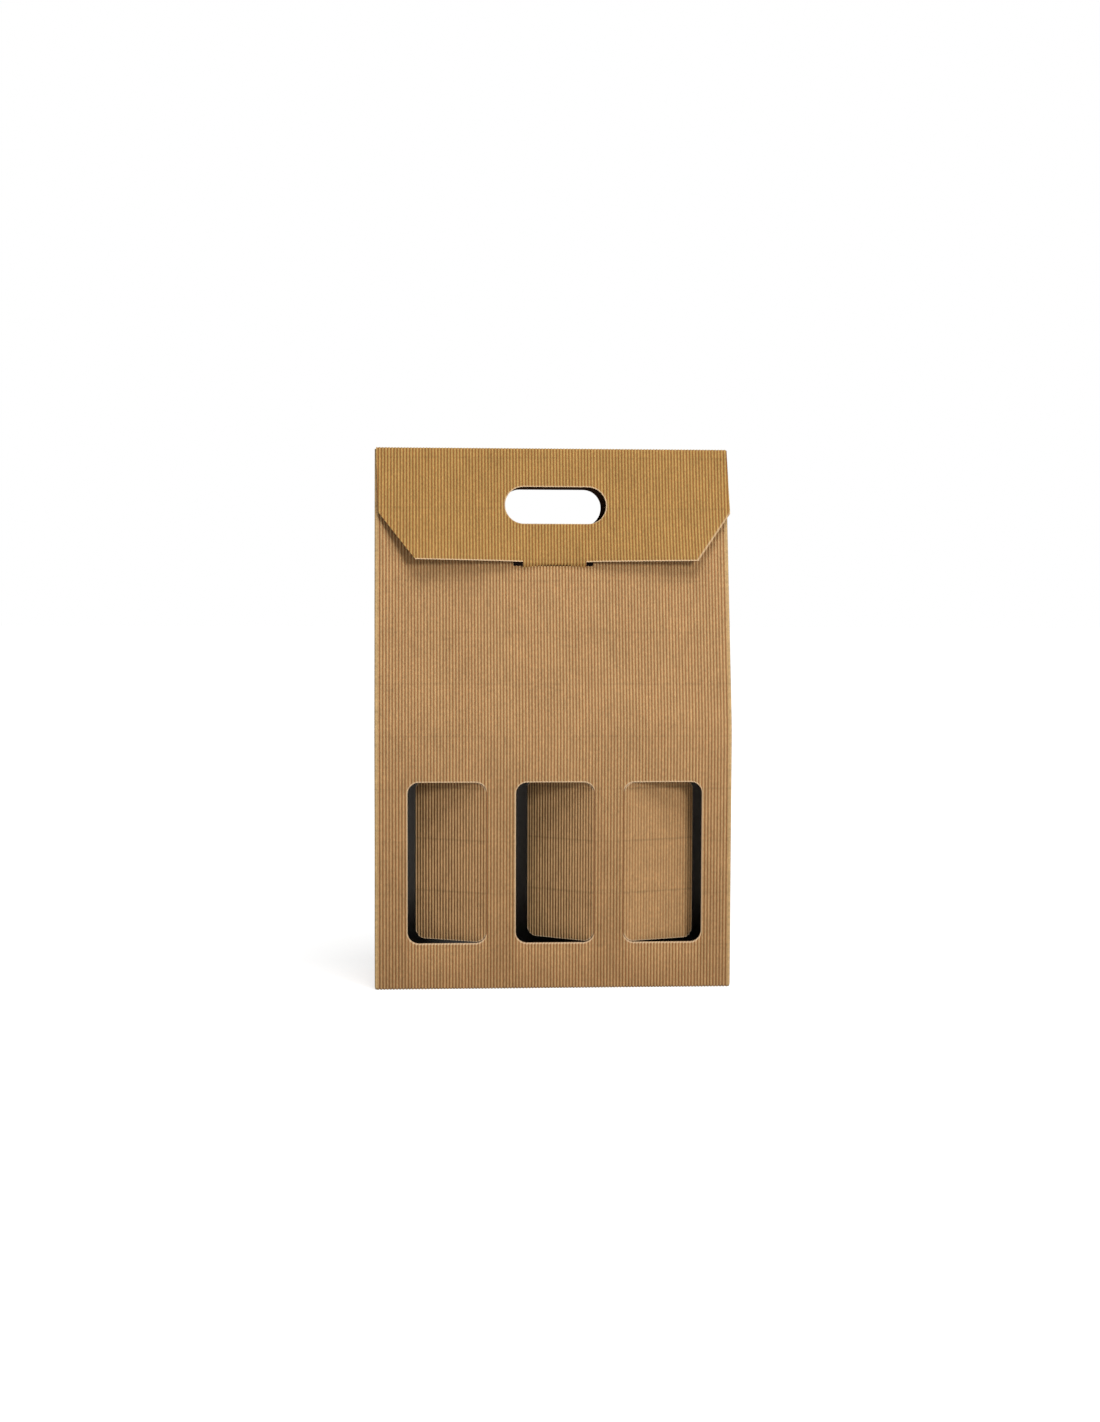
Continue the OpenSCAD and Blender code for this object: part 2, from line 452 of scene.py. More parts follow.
class Cutters:
    """Solid shapes that openings are cut with."""

    def __init__(self, edge: bpy.types.Material) -> None:
        """Keeps the material that cut faces take."""
        self.edge = edge

    def block(self, size: Sequence[float], centre: Sequence[float], lean: float = 0) -> bpy.types.Object:
        """Returns a plain block, turned about X by lean.

        Args:
            size: its three sizes.
            centre: its middle.
            lean: the turn, in radians.

        Returns:
            The block.
        """
        bpy.ops.mesh.primitive_cube_add(size=1, location=centre, rotation=(lean, 0, 0))
        obj = bpy.context.active_object
        obj.scale = size
        Bench.freeze(obj)
        obj.data.materials.append(self.edge)
        return obj

    def rounded(
        self, width: float, height: float, radius: float, depth: float, centre: Sequence[float]
    ) -> bpy.types.Object:
        """Returns a block along Y whose four long edges are rounded.

        Args:
            width: size along X.
            height: size along Z.
            radius: radius of the long edges.
            depth: size along Y.
            centre: its middle.

        Returns:
            The block.
        """
        obj = self.block((width, depth, height), centre)
        Bench.only(obj)
        bpy.ops.object.mode_set(mode="EDIT")
        bpy.ops.mesh.select_mode(type="EDGE")
        bpy.ops.mesh.select_all(action="DESELECT")
        Bench.done()
        for edge in obj.data.edges:
            a, b = (obj.data.vertices[v].co for v in edge.vertices)
            edge.select = abs(a.y - b.y) > depth / 2
        bpy.ops.object.mode_set(mode="EDIT")
        bpy.ops.mesh.bevel(offset=radius, segments=12, affect="EDGES")
        Bench.done()
        return obj

    @staticmethod
    def cut(obj: bpy.types.Object, cutter: bpy.types.Object, how: str = "DIFFERENCE", keep: bool = False) -> None:
        """Cuts obj with the cutter, whose material the cut faces take.

        Args:
            obj: the mesh that is cut.
            cutter: the solid that cuts it.
            how: the Boolean operation.
            keep: leaves the cutter in the scene.
        """
        Bench.apply(obj, "BOOLEAN", operation=how, object=cutter, solver="EXACT", material_mode="TRANSFER")
        if not keep:
            bpy.data.objects.remove(cutter)


# Sheets


@dataclass(frozen=True)
class Fold:
    """A fold across a sheet, at a height of the flat sheet.

    Attributes:
        at: height of the fold's middle.
        angle: turn about X of the far part, in radians.
        radius: bend radius at the flat face.
        side: the part that turns.
        steps: number of rows that share the turn.
    """

    at: float
    angle: float
    radius: float
    side: Side = Side.ABOVE
    steps: int = 5

    def rows(self) -> list[float]:
        """Returns the heights of the fold's rows, the farthest first.

        Returns:
            The heights.
        """
        reach = abs(self.angle) * self.radius
        spots = [self.at + reach * ((i + 0.5) / self.steps - 0.5) for i in range(self.steps)]
        return spots[::-1] if self.side is Side.ABOVE else spots


@dataclass(frozen=True)
class Curl:
    """A bend along the flutes near one edge of a sheet: where, how far and in how many steps."""

    at: float
    angle: float
    reach: float
    steps: int = 6


@dataclass
class Sheet:
    """A sheet of board, made flat and facing -Y with its flat face on y = 0, then folded.

    Attributes:
        name: name of the finished piece.
        width: size across the flutes, about x = 0.
        bottom: lower end of the flat sheet.
        top: upper end of the flat sheet.
        board: the board's sizes.
        finishes: materials of the outside, of cut edges and of the inside.
        folds: folds in the order in which they are made.
        trims: planes of the flat sheet, as point and normal in x and z, that cut off what is past them.
        tongue: its left and right edges and the height under which only the tongue stays.
        curl: a bend along the flutes.
        warp: moves the flat sheet's vertices, for a sheet that doesn't lie flat.
        rows: heights that get a row of vertices besides those of the folds.
        start: the number that the count of flutes starts from, to tell sheets apart in a material.
    """

    name: str
    width: float
    bottom: float
    top: float
    board: Board
    finishes: tuple[bpy.types.Material, bpy.types.Material, bpy.types.Material]
    folds: Sequence[Fold] = ()
    trims: Sequence[tuple[Point, Point]] = ()
    tongue: tuple[float, float, float] | None = None
    curl: Curl | None = None
    warp: Callable[[bpy.types.Object], None] | None = None
    rows: Sequence[float] = ()
    start: float = 0.0

    def build(self) -> tuple[bpy.types.Object, bpy.types.Object]:
        """Returns the corrugated paper and the liner, folded and closed.

        Returns:
            The two layers.
        """
        flutes = max(1, round(self.width / self.board.pitch))
        paper = self._corrugated(flutes)
        liner = self._flat()
        for obj, thickness, offset in ((paper, self.board.paper, 0), (liner, self.board.liner, 1)):
            self._mark(obj, flutes)
            self._shape(obj)
            obj.data.materials.append(self.finishes[0] if obj is paper else self.finishes[2])
            obj.data.materials.append(self.finishes[1])
            Bench.apply(obj, "SOLIDIFY", thickness=thickness, offset=offset, material_offset_rim=1)
        LOG.info("%s: %d flutes, %d faces", self.name, flutes, len(paper.data.polygons))
        return paper, liner

    def _grid(self, name: str, width: float, columns: int, x: float) -> bpy.types.Object:
        """Returns an upright grid of that width with one row, its middle at x.

        Args:
            name: the object's name.
            width: size along X.
            columns: number of columns.
            x: the middle.

        Returns:
            The grid, facing -Y.
        """
        bpy.ops.mesh.primitive_grid_add(x_subdivisions=columns, y_subdivisions=1, size=1)
        obj = bpy.context.active_object
        obj.name = name
        obj.scale = (width, self.top - self.bottom, 1)
        Bench.place(obj, (x, 0, (self.top + self.bottom) / 2), (math.pi / 2, 0, 0))
        return obj

    def _corrugated(self, flutes: int) -> bpy.types.Object:
        """Models one flute column by column and repeats it across the sheet.

        Args:
            flutes: number of flutes across the sheet.

        Returns:
            The corrugated sheet, not yet folded.
        """
        step = self.width / flutes
        obj = self._grid(self.name, step, self.board.segments, (step - self.width) / 2)
        start = -self.width / 2
        low = self.board.liner + self.board.paper / 2
        rise = self.board.flute - self.board.paper
        flat_x = Bench.coords(obj)[:, 0]
        for k in range(self.board.segments + 1):
            column = np.abs(flat_x - start - step * k / self.board.segments) < step / 100
            height = low + rise * (1 - math.cos(2 * math.pi * k / self.board.segments)) / 2
            Bench.pick(obj, column)
            bpy.ops.transform.translate(value=(0, -height, 0))
            Bench.done()
        Bench.apply(
            obj, "ARRAY", count=flutes, use_relative_offset=False, use_constant_offset=True,
            constant_offset_displace=(step, 0, 0), use_merge_vertices=True, merge_threshold=step / 100,
        )
        return obj

    def _flat(self) -> bpy.types.Object:
        """Returns the liner's plain grid, with columns where the sheet curls."""
        columns = 24 if self.curl or self.warp else 1
        return self._grid(self.name + "_liner", self.width, columns, 0)

    def _mark(self, obj: bpy.types.Object, flutes: int) -> None:
        """Writes the flat place into the UV map: flutes across, metres up.

        Args:
            obj: one layer.
            flutes: number of flutes across the sheet.
        """
        co = Bench.coords(obj)
        loops = np.zeros(len(obj.data.loops), np.int32)
        obj.data.loops.foreach_get("vertex_index", loops)
        layer = obj.data.uv_layers.active or obj.data.uv_layers.new(name=FLAT_UV)
        layer.name = FLAT_UV
        uv = np.stack([self.start + (co[loops, 0] / self.width + 0.5) * flutes, co[loops, 2]], 1)
        layer.data.foreach_set("uv", uv.ravel())

    def _shape(self, obj: bpy.types.Object) -> None:
        """Trims the flat sheet, adds its rows, curls it and makes its folds.

        Args:
            obj: one layer.
        """
        for (x, z), (nx, nz) in self.trims:
            Bench.slice(obj, (x, 0, z), (nx, 0, nz), clear=True)
        for z in [r for f in self.folds for r in f.rows()] + list(self.rows):
            Bench.slice(obj, (0, 0, z), (0, 0, 1))
        if self.tongue:
            left, right, under = self.tongue
            for x in (left, right):
                Bench.slice(obj, (x, 0, 0), (1, 0, 0))
            Bench.slice(obj, (0, 0, under), (0, 0, 1))
            Bench.remove(obj, lambda m: (m[:, 2] < under) & ((m[:, 0] < left) | (m[:, 0] > right)))
        if self.warp:
            self.warp(obj)
        flat = Bench.coords(obj)
        if self.curl:
            side = 1 if self.curl.at > 0 else -1
            for i in range(self.curl.steps)[::-1]:
                x = self.curl.at + side * self.curl.reach * i / self.curl.steps
                Bench.pick(obj, side * flat[:, 0] > side * x)
                Bench.turn(side * self.curl.angle / self.curl.steps, "Z", (x, 0, 0))
                Bench.done()
        for fold in self.folds:
            sign = fold.side.value
            for z in fold.rows():
                Bench.pick(obj, sign * (flat[:, 2] - z) > 1e-6)
                Bench.turn(fold.angle / fold.steps, "X", (0, 0, z))
                Bench.done()

    def finish(self, place: Callable[[bpy.types.Object], None], cuts: Iterable[Callable[[], bpy.types.Object]] = (),
               how: str = "DIFFERENCE") -> bpy.types.Object:
        """Builds the sheet, puts it in place and cuts its openings.

        Args:
            place: moves each of the two layers from the flat frame to its place.
            cuts: functions that each return one cutter, made anew for each layer.
            how: the Boolean operation.

        Returns:
            The sheet as one object.
        """
        layers = self.build()
        for obj in layers:
            place(obj)
            for make in cuts:
                Cutters.cut(obj, make(), how)
        return Bench.join(self.name, list(layers))


# Materials


class Nodes:
    """Short calls that build one node tree."""

    def __init__(self, tree: bpy.types.NodeTree) -> None:
        """Starts on an empty tree."""
        self.tree = tree
        tree.nodes.clear()

    def add(self, kind: str, values: dict[int | str, object] | None = None, **settings: object) -> bpy.types.Node:
        """Adds a node.

        Args:
            kind: the node's type name.
            values: input sockets with a value, or with the output socket that feeds them.
            **settings: the node's properties.

        Returns:
            The node.
        """
        node = self.tree.nodes.new(kind)
        for key, value in settings.items():
            setattr(node, key, value)
        for key, value in (values or {}).items():
            if isinstance(value, bpy.types.NodeSocket):
                self.tree.links.new(value, node.inputs[key])
            else:
                node.inputs[key].default_value = value
        return node

    def math(self, operation: str, a: object, b: object = 0.0, clamp: bool = False) -> bpy.types.NodeSocket:
        """Returns the output of a math node."""
        return self.add("ShaderNodeMath", {0: a, 1: b}, operation=operation, use_clamp=clamp).outputs[0]

    def ramp(
        self, value: object, low: float, high: float, to_low: float = 0.0, to_high: float = 1.0
    ) -> bpy.types.NodeSocket:
        """Returns value carried from low..high to to_low..to_high, held at both ends."""
        node = self.add("ShaderNodeMapRange", {0: value, 1: low, 2: high, 3: to_low, 4: to_high}, clamp=True)
        return node.outputs[0]

    def noise(self, where: object, scale: float, detail: float = 2.0, roughness: float = 0.5) -> bpy.types.NodeSocket:
        """Returns a noise value about 0.5."""
        values = {"Vector": where, "Scale": scale, "Detail": detail, "Roughness": roughness}
        return self.add("ShaderNodeTexNoise", values).outputs["Fac"]

    def stretched(self, where: object, scale: Sequence[float]) -> bpy.types.NodeSocket:
        """Returns the vector where, scaled by axis."""
        return self.add("ShaderNodeVectorMath", {0: where, 1: tuple(scale)}, operation="MULTIPLY").outputs[0]

    def mix(self, factor: object, a: object, b: object, blend: str = "MIX") -> bpy.types.NodeSocket:
        """Returns two colours mixed."""
        node = self.add("ShaderNodeMix", {0: factor, 6: a, 7: b}, data_type="RGBA", blend_type=blend)
        return node.outputs[2]


def rgb(red: int, green: int, blue: int) -> tuple[float, float, float, float]:
    """Returns a screen colour as the linear colour that a shader takes."""
    def linear(value: int) -> float:
        """Returns one channel without the screen's curve."""
        c = value / 255
        return c / 12.92 if c <= 0.04045 else ((c + 0.055) / 1.055) ** 2.4
    return (linear(red), linear(green), linear(blue), 1.0)


@dataclass(frozen=True)
class KraftTone:
    """Colours of one kraft sheet: flute tops, hollows between them darkened as painted shade, its spread, and the
    strengths of painted shade along the base fold and in the flaps' hollows.
    """

    crest: tuple[float, float, float, float]
    hollow_shade: tuple[float, float, float, float]
    grain: float = 0.27
    jitter: float = 0.22
    foot: float = 0.0
    flap_hollow_shade: float = 0.0


class Palette:
    """Builds the materials of the box and keeps them by finish."""

    def __init__(self) -> None:
        """Builds the shared effect groups and then every material."""
        self.look = self._look_group()
        self.rim = self._rim_group()
        # The darker hollow colours are painted shade, and the box tone also paints shade along the base fold and in
        # the pushed-in flaps' hollows
        box_tone = KraftTone(rgb(212, 175, 123), rgb(168, 116, 73), foot=0.5, flap_hollow_shade=0.75)
        lid_tone = KraftTone(rgb(201, 164, 98), rgb(161, 107, 57))
        self.items = {
            Finish.KRAFT: self._kraft(Finish.KRAFT.value, self._box_rims, box_tone),
            Finish.LID: self._kraft(Finish.LID.value, self._lid_rims, lid_tone),
            Finish.LINER: self._plain(Finish.LINER.value, rgb(140, 136, 130), 0.9),
            Finish.INSIDE: self._inside(),
            Finish.EDGE: self._plain(Finish.EDGE.value, rgb(196, 160, 118), 0.9),
            # Dark brown cut edges of the lid and its hand hole: painted shade for the shaded flute ends and underside
            Finish.LID_EDGE: self._plain(Finish.LID_EDGE.value, rgb(66, 38, 24), 0.9),
        }

    def __getitem__(self, finish: Finish) -> bpy.types.Material:
        """Returns the material of that finish."""
        return self.items[finish]

    @staticmethod
    def _look_group() -> bpy.types.NodeTree:
        """Makes the group that tells, from the flat place on a sheet, how the paper looks there.

        Returns:
            The group.
        """
        group = bpy.data.node_groups.new("open_flute_look", "ShaderNodeTree")
        for name in ("Crest", "Grain", "Jitter", "Crush", "Foot", "Flap hollow shade", "X", "Z"):
            group.interface.new_socket(name=name, in_out="OUTPUT", socket_type="NodeSocketFloat")
        n = Nodes(group)
        pitch = Board().pitch
        uv = n.add("ShaderNodeUVMap", uv_map=FLAT_UV).outputs[0]
        split = n.add("ShaderNodeSeparateXYZ", {0: uv})
        across, up = split.outputs[0], split.outputs[1]
        wave = n.math("COSINE", n.math("MULTIPLY", across, 2 * math.pi))
        crest = n.add("ShaderNodeMath", {0: wave, 1: -0.5, 2: 0.5}, operation="MULTIPLY_ADD").outputs[0]
        flat = n.stretched(uv, (pitch, 1, 1))
        fine = n.noise(n.stretched(flat, (1, 0.45, 1)), 900, 3, 0.65)
        cloud = n.noise(flat, 26, 3, 0.6)
        grain = n.math("ADD", n.math("MULTIPLY", n.math("SUBTRACT", fine, 0.5), 1.6),
                       n.math("MULTIPLY", n.math("SUBTRACT", cloud, 0.5), 0.5))
        flute = n.math("FLOOR", across)
        spot = {0: n.math("MULTIPLY", flute, 7.31), 1: n.math("MULTIPLY", up, 60)}
        where = n.add("ShaderNodeCombineXYZ", spot).outputs[0]
        jitter = n.math("SUBTRACT", n.noise(where, 1.0, 2, 0.6), 0.5)
        turns = n.math("DIVIDE", n.math("SUBTRACT", up, PRESS_FIRST), PRESS_STEP)
        band = n.math("ABSOLUTE", n.math("SUBTRACT", n.math("FRACT", turns), 0.5))
        past_flap = n.math("LESS_THAN", across, PLAIN_START - 1)
        flap = n.math("MULTIPLY", n.math("GREATER_THAN", across, FLAP_START - 1), past_flap)
        crush = n.math("MULTIPLY", n.ramp(band, 0.006, 0.03, 1, 0), n.ramp(flap, 0, 1, 0.4, 1))
        # Painted shade near the foot of the flat sheet, along the base fold where the box meets the floor
        foot = n.math("MULTIPLY", n.ramp(up, 0.6 * MM, 2.2 * MM, 1, 0), n.ramp(up, -5 * MM, -3 * MM))
        # Painted shade in the flute hollows of the two flaps that are pushed in furthest, darkest at the free edge
        along = n.math("SUBTRACT", across, FLAP_START)
        flap_hollow_shade = n.math("MULTIPLY", n.ramp(along, -0.1, 0.0), n.ramp(along, 5, 25, 1, 0.25))
        flap_hollow_shade = n.math("MULTIPLY", flap_hollow_shade, n.math("LESS_THAN", along, RIGHT_STEP - 1))
        flap_hollow_shade = n.math("MULTIPLY", flap_hollow_shade, n.ramp(crest, 0.1, 0.5, 1, 0))
        flap_hollow_shade = n.math("MULTIPLY", flap_hollow_shade, n.ramp(jitter, -0.2, 0.15, 1.2, 0.5))
        # The right flap turns towards the light, so its hollows take less painted shade: its crest value is pulled
        # towards the middle
        smooth = n.math("MULTIPLY", flap, n.math("GREATER_THAN", along, RIGHT_STEP - 1))
        even = n.math("MULTIPLY", n.math("MULTIPLY", smooth, 0.35), n.math("SUBTRACT", 0.5, crest))
        crest = n.math("ADD", crest, even)
        x = n.math("MULTIPLY", across, pitch)
        n.add("NodeGroupOutput", {
            "Crest": crest, "Grain": grain, "Jitter": jitter, "Crush": crush,
            "Foot": foot, "Flap hollow shade": flap_hollow_shade, "X": x, "Z": up,
        })
        return group

    @staticmethod
    def _rim_group() -> bpy.types.NodeTree:
        """Makes the group that marks the paper close to a rounded opening or outline.

        Returns:
            The group.
        """
        group = bpy.data.node_groups.new("cut_rim", "ShaderNodeTree")
        for name in ("X", "Z", "Half width", "Half height", "Radius", "Hinge"):
            group.interface.new_socket(name=name, in_out="INPUT", socket_type="NodeSocketFloat")
        group.interface.new_socket(name="Rim", in_out="OUTPUT", socket_type="NodeSocketFloat")
        n = Nodes(group)
        at = n.add("NodeGroupInput").outputs
        sides = []
        for axis, half in (("X", "Half width"), ("Z", "Half height")):
            inset = n.math("SUBTRACT", at[half], at["Radius"])
            sides.append(n.math("SUBTRACT", n.math("ABSOLUTE", at[axis]), inset))
        out = [n.math("MAXIMUM", side, 0.0) for side in sides]
        round_part = n.math("SQRT", n.math("ADD", n.math("POWER", out[0], 2.0), n.math("POWER", out[1], 2.0)))
        flat_part = n.math("MINIMUM", n.math("MAXIMUM", sides[0], sides[1]), 0.0)
        far = n.math("ABSOLUTE", n.math("SUBTRACT", n.math("ADD", round_part, flat_part), at["Radius"]))
        rim = n.ramp(far, RIM_WIDTH * 0.6, RIM_WIDTH * 1.2, 1, 0)
        past = n.math("SUBTRACT", n.math("MULTIPLY", at["Hinge"], at["X"]), at["Half width"])
        creased = n.math("MULTIPLY", n.ramp(past, -7 * MM, -3 * MM), n.ramp(sides[1], 1 * MM, 6 * MM, 1, 0))
        n.add("NodeGroupOutput", {"Rim": n.math("MULTIPLY", rim, n.math("SUBTRACT", 1.0, creased))})
        return group

    def _box_rims(self, n: Nodes, look: bpy.types.bpy_prop_collection) -> bpy.types.NodeSocket:
        """Marks the rims of the windows, flaps and hand holes.

        Args:
            n: the tree that the nodes go in.
            look: outputs of the look group.

        Returns:
            1 on a rim and 0 away from it.
        """
        w, h, box = WindowSizes(), HoleSizes(), BoxSizes()
        step = box.board.pitch
        front = box.front_w / round(box.front_w / step)
        flap = w.width / round(w.width / step)
        hole_z = box.wall + (box.height - h.drop - box.wall) / math.cos(box.panel_lean)
        window = (w.height, w.radius)
        hole = (h.height, h.height / 2)
        spots = [
            ((w.centre(i).x + box.front_w / 2) / front, w.centre(i).z, w.width, *window, hinge)
            for i, hinge in ((-1, 1), (0, 1), (1, -1))
        ]
        spots += [
            (start + w.width / 2 / flap, w.centre(0).z, w.width - box.gap, *window, hinge)
            for start, hinge in ((FLAP_START, 1), (FLAP_START + RIGHT_STEP, -1))
        ]
        spots.append(((h.front_x + box.front_w / 2) / front, hole_z, h.width, *hole, 0))
        spots.append((REAR_START + (box.front_w / 2 - h.rear_x) / front, hole_z, h.width, *hole, 0))
        total: object = 0.0
        for x, z, wide, high, radius, hinge in spots:
            values = {"X": n.math("SUBTRACT", look["X"], x * step), "Z": n.math("SUBTRACT", look["Z"], z),
                      "Half width": wide / 2, "Half height": high / 2, "Radius": radius, "Hinge": float(hinge)}
            rim = n.add("ShaderNodeGroup", values, node_tree=self.rim).outputs[0]
            total = n.math("MAXIMUM", total, rim)
        return total

    def _lid_rims(self, n: Nodes, look: bpy.types.bpy_prop_collection) -> bpy.types.NodeSocket:
        """Marks the rims of the lid's lower edge, right slanted corner and hand hole.

        Args:
            n: the tree that the nodes go in.
            look: outputs of the look group.

        Returns:
            1 on a rim and 0 away from it.
        """
        l, h, box = LidSizes(), HoleSizes(), BoxSizes()
        step = box.board.pitch
        middle = round((l.width + 4 * l.lean) / step) / 2 * step
        x = n.math("SUBTRACT", look["X"], middle)
        hole_z = -(box.height - box.board.thickness - (box.height - h.drop)) / math.cos(box.panel_lean)
        values = {"X": n.math("SUBTRACT", x, h.lid_x), "Z": n.math("SUBTRACT", look["Z"], hole_z),
                  "Half width": h.width / 2, "Half height": h.height / 2, "Radius": h.height / 2}
        total: object = n.add("ShaderNodeGroup", values, node_tree=self.rim).outputs[0]
        p = [(px, max(pz, l.edge_up - l.length)) for px, pz in l.outline()]
        tongue = n.math("LESS_THAN", n.math("ABSOLUTE", n.math("SUBTRACT", x, l.tongue_x)), l.tongue_w / 2)
        for a, b, clear in ((p[2], p[5], tongue), (p[4], p[5], 0.3)):
            normal = Vector((b[1] - a[1], a[0] - b[0])).normalized()
            shift = n.math("SUBTRACT", n.math("MULTIPLY", x, normal[0]), a[0] * normal[0] + a[1] * normal[1])
            far = n.math("ABSOLUTE", n.math("ADD", shift, n.math("MULTIPLY", look["Z"], normal[1])))
            rim = n.ramp(far, RIM_WIDTH * 0.6, RIM_WIDTH * 1.2, 1, 0)
            total = n.math("MAXIMUM", total, n.math("MULTIPLY", rim, n.math("SUBTRACT", 1.0, clear)))
        return total

    def _kraft(self, name: str, rims: Callable[[Nodes, object], bpy.types.NodeSocket],
               tone: KraftTone) -> bpy.types.Material:
        """Brown kraft paper over flutes, with fibres and pressed lines, painted shade in the hollows, along the base
        fold and on the flaps, and pale cut rims that are partly paler cut paper and partly painted highlight.

        Args:
            name: the material's name.
            rims: marks the rims on this sheet.
            tone: its colours.

        Returns:
            The material.
        """
        material, n = self._start(name)
        look = n.add("ShaderNodeGroup", node_tree=self.look).outputs
        # Darker hollow colour between the flutes: painted shade
        base = n.mix(n.ramp(look["Crest"], 0.15, 0.85), tone.hollow_shade, tone.crest)
        grain = n.math("MULTIPLY", look["Grain"], tone.grain * 2)
        light = n.math("ADD", grain, n.math("MULTIPLY", look["Jitter"], tone.jitter * 2))
        light = n.math("SUBTRACT", n.math("ADD", light, 1), n.math("MULTIPLY", look["Crush"], 0.18))
        # Painted shade near the foot of the sheet, along the base fold
        light = n.math("SUBTRACT", light, n.math("MULTIPLY", look["Foot"], tone.foot))
        shade = n.add("ShaderNodeCombineColor", {0: light, 1: light, 2: light}).outputs[0]
        colour = n.mix(1.0, base, shade, "MULTIPLY")
        # Painted shade: dark brown in the hollows of the two flaps pushed in furthest
        colour = n.mix(n.math("MULTIPLY", look["Flap hollow shade"], tone.flap_hollow_shade), colour, rgb(88, 48, 30))
        # Pale line along the cuts: partly paler cut paper, partly painted highlight
        colour = n.mix(n.math("MULTIPLY", rims(n, look), RIM_LIGHT), colour, rgb(240, 208, 168))
        bump = n.add("ShaderNodeBump", {"Strength": 0.25, "Distance": 0.0001, "Height": look["Grain"]}).outputs[0]
        self._surface(n, colour, 0.86, 0.25, bump)
        return material

    def _plain(self, name: str, colour: tuple[float, float, float, float], roughness: float) -> bpy.types.Material:
        """Plain paper with a little grain.

        Args:
            name: the material's name.
            colour: its colour.
            roughness: its roughness.

        Returns:
            The material.
        """
        material, n = self._start(name)
        place = n.add("ShaderNodeTexCoord").outputs["Object"]
        light = n.ramp(n.noise(place, 700, 3, 0.6), 0.2, 0.8, 0.88, 1.12)
        shade = n.add("ShaderNodeCombineColor", {0: light, 1: light, 2: light}).outputs[0]
        self._surface(n, n.mix(1.0, colour, shade, "MULTIPLY"), roughness, 0.2)
        return material

    def _inside(self) -> bpy.types.Material:
        """Grey liner inside the box, darker towards the base, and dark brown up in the gable: the kraft's brown
        there, darkened as painted shade.

        Returns:
            The material.
        """
        material, n = self._start(Finish.INSIDE.value)
        place = n.add("ShaderNodeTexCoord").outputs["Object"]
        height = n.add("ShaderNodeSeparateXYZ", {0: place}).outputs[2]
        low = n.mix(n.ramp(height, 25 * MM, 60 * MM), rgb(98, 96, 93), rgb(190, 188, 184))
        # Painted shade: dark brown up in the gable, where the inside lies in shade
        colour = n.mix(n.ramp(height, 230 * MM, 310 * MM), low, rgb(66, 42, 30))
        self._surface(n, colour, 0.9, 0.2)
        return material

    @staticmethod
    def _start(name: str) -> tuple[bpy.types.Material, Nodes]:
        """Returns a new material and its empty tree."""
        material = bpy.data.materials.new(name)
        material.use_nodes = True
        return material, Nodes(material.node_tree)

    @staticmethod
    def _surface(n: Nodes, colour: object, roughness: float, specular: float, normal: object = None) -> None:
        """Ends a tree with the shader and the output.

        Args:
            n: the tree that the nodes go in.
            colour: a colour or the socket that gives it.
            roughness: the roughness.
            specular: level of the sheen.
            normal: the socket of a bumped normal, or None.
        """
        values = {"Base Color": colour, "Roughness": roughness, "Specular IOR Level": specular}
        if normal is not None:
            values["Normal"] = normal
        shader = n.add("ShaderNodeBsdfPrincipled", values)
        n.add("ShaderNodeOutputMaterial", {0: shader.outputs[0]})


# Sub-assemblies


@dataclass(frozen=True)
class Piece:
    """A finished piece, the body it rides on and the CAD node it stands for."""

    obj: bpy.types.Object
    node: str

    def mount(self) -> None:
        """Hands the piece to the frame."""
        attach(self.obj, self.node)
        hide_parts(self.node)
        LOG.info("%s: %d faces in all", self.obj.name, len(self.obj.data.polygons))


